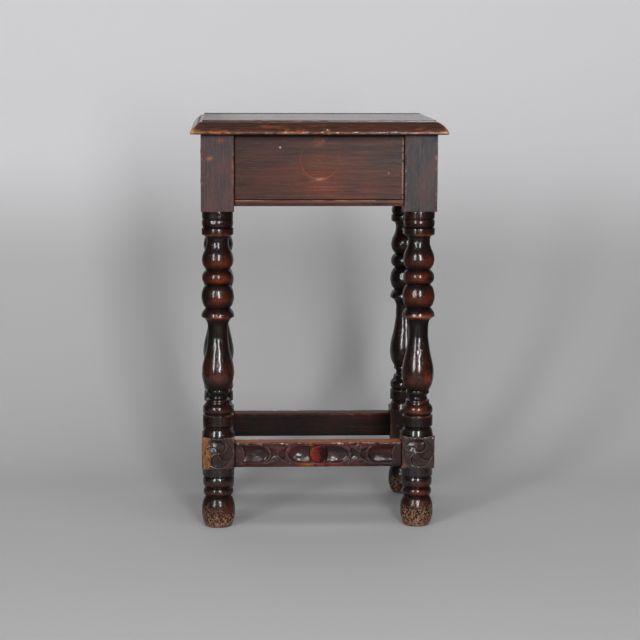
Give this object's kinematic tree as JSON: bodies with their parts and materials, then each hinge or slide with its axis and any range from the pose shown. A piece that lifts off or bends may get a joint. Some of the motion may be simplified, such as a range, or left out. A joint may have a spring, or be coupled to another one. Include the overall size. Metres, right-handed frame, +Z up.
{
  "type": "joint stool",
  "caption": "Low joined stool of dark stained oak: moulded plank seat on turned baluster legs, deep rails and low stretchers with shallow carving, mortised, tenoned and pegged",
  "frame": {"origin": "on the floor, under the middle of the seat", "axes": "+X along the long side to the right, +Y from the carved front to the back, +Z up"},
  "size_m": [0.3466, 0.2756, 0.559],
  "materials": {
    "oak_seat": "dark stained and waxed oak, satin",
    "oak_turned": "near-black stained turned oak, polished, with red-brown wear on the swellings",
    "oak_rails": "dark red-brown stained oak, satin",
    "oak_stretchers": "dark stained oak, worn golden on the upper arris",
    "oak_pegs": "stained riven oak"
  },
  "bodies": {
    "root": {"seat": "oak_seat", "leg_front_left": "oak_turned", "leg_front_right": "oak_turned", "leg_back_left": "oak_turned", "leg_back_right": "oak_turned", "rail_front": "oak_rails", "rail_back": "oak_rails", "rail_left": "oak_rails", "rail_right": "oak_rails", "stretcher_front": "oak_stretchers", "stretcher_back": "oak_stretchers", "stretcher_left": "oak_stretchers", "stretcher_right": "oak_stretchers", "pegs_rail_front": "oak_pegs", "pegs_rail_back": "oak_pegs", "pegs_rail_left": "oak_pegs", "pegs_rail_right": "oak_pegs", "pegs_stretcher_front": "oak_pegs", "pegs_stretcher_back": "oak_pegs", "pegs_stretcher_left": "oak_pegs", "pegs_stretcher_right": "oak_pegs", "pegs_seat": "oak_pegs"}
  },
  "joints": []
}
